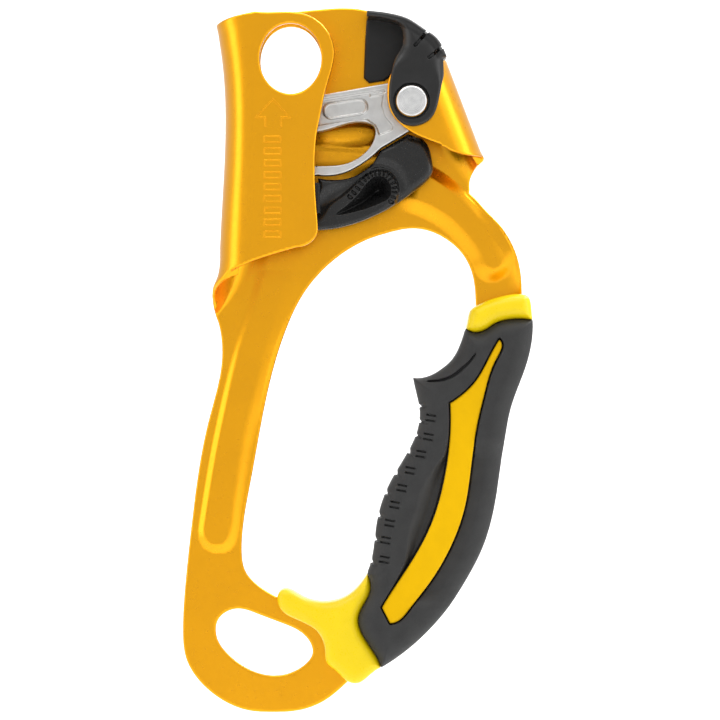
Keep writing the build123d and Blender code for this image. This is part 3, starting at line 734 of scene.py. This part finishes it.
GRIP_MID = BEND_MID
GRIP_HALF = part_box("grip_sleeve")[1].y * 1000 - GRIP_MID
THUMB_GROOVE = [(48.2, -78.0), (51.9, -77.7), (55.3, -76.4), (58.3, -74.0), (60.2, -72.1), (61.6, -70.1)]
PALM = [(45.2, -81.5), (46.1, -86.4), (45.6, -91.3), (43.8, -96.0), (39.6, -103.2), (36.2, -109.9),
        (34.0, -117.7), (33.0, -125.6), (31.3, -132.0)]
RIDGE = [(53.4, -94.0), (52.8, -98.4), (49.6, -102.1), (46.2, -107.6), (44.6, -112.6), (43.2, -117.4),
         (42.3, -121.0), (41.8, -127.9), (39.8, -132.5), (35.7, -139.9)]
GRIP_MARKS = [(49.1, -88.2), (48.4, -93.5), (46.3, -98.3), (43.3, -102.9), (41.0, -107.8), (39.0, -112.5),
              (37.6, -117.6), (36.5, -122.4), (36.1, -127.8)]


class Sleeve:
    def __init__(self):
        self.plan = Outline(section("grip_sleeve", GRIP_MID + GRIP_HALF - 2.8), 0.3)
        self.inlay = Outline(section("grip_inlay_front", GRIP_MID - GRIP_HALF + 1.2), 0.25)
        self.palm = spline(PALM, closed=False, steps=3)
        self.ridge = spline(RIDGE, closed=False, steps=3)
        self.groove = spline(THUMB_GROOVE, closed=False, steps=4)

    def face(self, x, z, inlay):
        """Depth of the relief on the grip's two broad faces."""
        away, _ = curve_distance(self.ridge, x, z)
        span = np.maximum(inlay, 0) + away
        lower = smoothstep(-93, -100, z) * smoothstep(-142, -136, z)
        share = np.clip(away / np.maximum(span, 0.3), 0, 1)
        right_of = x > np.interp(-z, [-p[1] for p in RIDGE], [p[0] for p in RIDGE])
        slope = 2.6 * smoothstep(0, 0.75, share) * right_of * lower * (inlay > -4)
        away, along = curve_distance(self.groove, x, z)
        width = 0.32 * np.sqrt(np.clip(4 * along * (1 - along), 0.02, 1)) + 0.05
        groove = 1.1 * smoothstep(width + 0.12, width - 0.15, away)
        for mx, mz in GRIP_MARKS:
            u = (x - mx) * 0.985 - (z - mz) * 0.174
            w = (z - mz) * 0.985 + (x - mx) * 0.174
            bar = np.maximum(np.abs(u) - 1.25, np.abs(np.abs(w) - 0.75) - 0.17)
            groove = np.maximum(groove, 0.8 * smoothstep(0.18, -0.12, bar))
        return slope, groove

    def __call__(self, x, y, z):
        plan = self.plan(x, z)
        away, along = curve_distance(self.palm, x, z)
        wave = (along * 9.6) % 1.0
        notch = smoothstep(0.72, 0.95, wave) * smoothstep(1.0, 0.97, wave)
        plan = plan + 0.7 * notch * smoothstep(3.0, 0.8, away) * (along > 0.08)
        inlay = self.inlay(x, z)
        slope, groove = self.face(x, z, inlay)
        body = both(plan, np.abs(y - GRIP_MID) - GRIP_HALF + slope, 5.0)
        body = body + groove
        pocket = both(inlay - 0.3, GRIP_HALF - 3.2 - np.abs(y - GRIP_MID), 0.1)
        return both(body, -pocket, 0.18)


def rubber_sleeve():
    low, high = [np.array(v) * 1000 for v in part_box("grip_sleeve")]
    field = Sleeve()
    for name, sign in (("rubber_sleeve_front", 1), ("rubber_sleeve_rear", -1)):
        def half(x, y, z, sign=sign):
            return np.maximum(field(x, y, z), sign * (y - GRIP_MID))
        ends = (low[1], GRIP_MID + 0.1) if sign > 0 else (GRIP_MID - 0.1, high[1])
        step = (0.3, 0.5, 0.3) if sign > 0 else (0.42, 0.6, 0.42)
        piece(name, half, (low[0], ends[0], low[2]), (high[0], ends[1], high[2]), step, RUBBER, "body",
              "black_rubber", "grip_sleeve")


def grip_inlays():
    """The two yellow strips, a little below the rubber and crowned."""
    for node, sign in (("grip_inlay_front", -1), ("grip_inlay_rear", 1)):
        low, high = [np.array(v) * 1000 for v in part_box(node)]
        middle = (low[1] + high[1]) / 2
        plan = Outline(section(node, middle), 0.25)
        half = (high[1] - low[1]) / 2

        def field(x, y, z, plan=plan, middle=middle, half=half):
            return both(plan(x, z) + 0.15, np.abs(y - middle) - half, 0.3)

        # The strips take the darker copy of the yellow plastic, which is painted shade for their recess.
        piece(node + "_strip", field, low, high, (0.35, 0.3, 0.35), YELLOW_IN_PAINTED_SHADE, "body", "yellow_plastic", node)


class Shell:
    """A rounded block around the limb, from one CAD node's outline."""

    def __init__(self, node, half, edge):
        self.plan = Outline(section(node, GRIP_MID + half - 2.8), 0.3)
        self.half = half
        self.edge = edge

    def __call__(self, x, y, z):
        return both(self.plan(x, z), np.abs(y - GRIP_MID) - self.half, self.edge)


class Flange(Shell):
    """The lower flange: its hook is thinner than its root beside the grip."""

    def __call__(self, x, y, z):
        fall = 1.6 * smoothstep(-2.0, 6.0, (22.0 - x) * 0.6 + (z + 146) * 0.8)
        return both(self.plan(x, z), np.abs(y - GRIP_MID) - self.half + fall, self.edge)


def yellow_parts():
    low, high = [np.array(v) * 1000 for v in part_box("upper_collar")]
    piece("yellow_collar", Shell("upper_collar", (high[1] - low[1]) / 2, 3.2), low, high, 0.4, YELLOW, "body",
          "yellow_plastic", "upper_collar")
    low, high = [np.array(v) * 1000 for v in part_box("lower_flange")]
    piece("yellow_flange", Flange("lower_flange", (high[1] - low[1]) / 2, 2.6), low, high, 0.4, YELLOW,
          "body", "yellow_plastic", "lower_flange")


pressed_frame()
flap_marks()
cast_cam()
moulded_catch()
moulded_pad()
rubber_sleeve()
grip_inlays()
yellow_parts()


# ---------------------------------------------------------------- stage, light and camera

# In metres from here on.
FLOOR_DROP = 0.10                               # floor below the object's lowest point
WALL_CENTRE, WALL_HALF = 0.03, 0.16             # the wall fills the view and little more
FLOOR_EXTRA = 2.84                              # how much wider the floor is in front
DISTANCE = 1.5                                  # camera to the plane through the rope axis
VIEW_WIDTH = 0.2016                             # what the picture's width covers at that plane
WORLD_STRENGTH = 0.88
CENTRE = (CAD_BOX[0] + CAD_BOX[1]) / 2
BEHIND = (0.03, 0.45, 0.0)                      # on the wall behind the object
LIGHTS = (
    # name, place, aim, size, power in watts
    ("left softbox", (-0.90, -0.28, -0.05), CENTRE, (0.40, 1.2), 2.5),
    ("right softbox", (0.97, -0.20, 0.05), CENTRE, (0.34, 1.2), 3.0),
    ("right panel", (0.90, -0.55, 0.05), CENTRE, (0.46, 1.2), 1.2),
    ("top key", (-0.1, -0.55, 0.85), CENTRE, (0.6, 0.2), 1.5),
    ("overhead", (0.03, -0.05, 0.75), BEHIND, (1.6, 0.3), 6.4),
    ("back rim", (0.40, 0.32, 0.45), (0.05, 0.0, 0.02), (0.3, 0.3), 3.0),
)


def area_light(name, place, aim, size, power):
    light = bpy.data.lights.new(name, "AREA")
    light.shape = "RECTANGLE"
    light.size, light.size_y = size
    light.energy = power
    obj = bpy.data.objects.new(name, light)
    obj.location = place
    obj.rotation_euler = (Vector(aim) - Vector(place)).to_track_quat("-Z", "Y").to_euler()
    bpy.context.scene.collection.objects.link(obj)


def backdrop():
    """Pale floor that curves up into a wall behind the object, narrowing from floor to wall."""
    floor_z = CAD_BOX[0].z - FLOOR_DROP
    wall_y = 0.45
    bend = 0.30
    bend_steps = 12
    profile = [(-3.0, floor_z), (wall_y - bend, floor_z)]
    for k in range(1, bend_steps + 1):
        a = math.pi / 2 * k / bend_steps
        profile.append((wall_y - bend + bend * math.sin(a), floor_z + bend * (1 - math.cos(a))))
    profile.append((wall_y, 3.0))
    widths = [WALL_HALF + FLOOR_EXTRA * (1 - i / len(profile)) ** 8 for i in range(len(profile))]
    vertices = [(WALL_CENTRE + side * width, y, z)
                for width, (y, z) in zip(widths, profile) for side in (-1, 1)]
    faces = [(2 * i, 2 * i + 1, 2 * i + 3, 2 * i + 2) for i in range(len(profile) - 1)]
    mesh = bpy.data.meshes.new("backdrop")
    mesh.from_pydata(vertices, [], faces)
    mesh.polygons.foreach_set("use_smooth", [True] * len(faces))
    obj = bpy.data.objects.new("backdrop", mesh)
    bpy.context.scene.collection.objects.link(obj)
    m = Nodes("pale paper")
    m.colour(m.ramp(m.noise(8, 3), 0.3, 0.7, 0, 1), (0.90, 0.90, 0.90), (0.92, 0.92, 0.92))
    m.set(Roughness=0.9)
    mesh.materials.append(m.material)
    obj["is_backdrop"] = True


def studio_world(scene):
    world = bpy.data.worlds.new("studio")
    world.use_nodes = True
    background = world.node_tree.nodes["Background"]
    background.inputs["Color"].default_value = (1, 1, 1, 1)
    background.inputs["Strength"].default_value = WORLD_STRENGTH
    scene.world = world
    scene.view_settings.view_transform = "Standard"


def front_camera(scene):
    """Level with the object's middle and square to its face."""
    camera = bpy.data.cameras.new("camera")
    camera.sensor_width = 36.0
    camera.lens = camera.sensor_width * DISTANCE / VIEW_WIDTH
    camera.clip_start, camera.clip_end = 0.05, 20
    view = bpy.data.objects.new("camera", camera)
    view.location = (0.02926, -DISTANCE, -0.0720)
    view.rotation_euler = (math.pi / 2, 0, 0)
    scene.collection.objects.link(view)
    scene.camera = view


backdrop()
studio_world(bpy.context.scene)
for light in LIGHTS:
    area_light(*light)
front_camera(bpy.context.scene)

for label, box in (("cad", CAD_BOX), ("visual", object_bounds())):
    label + " " + " ".join(f"{v:.5f}" for corner in box for v in corner) + "\n"
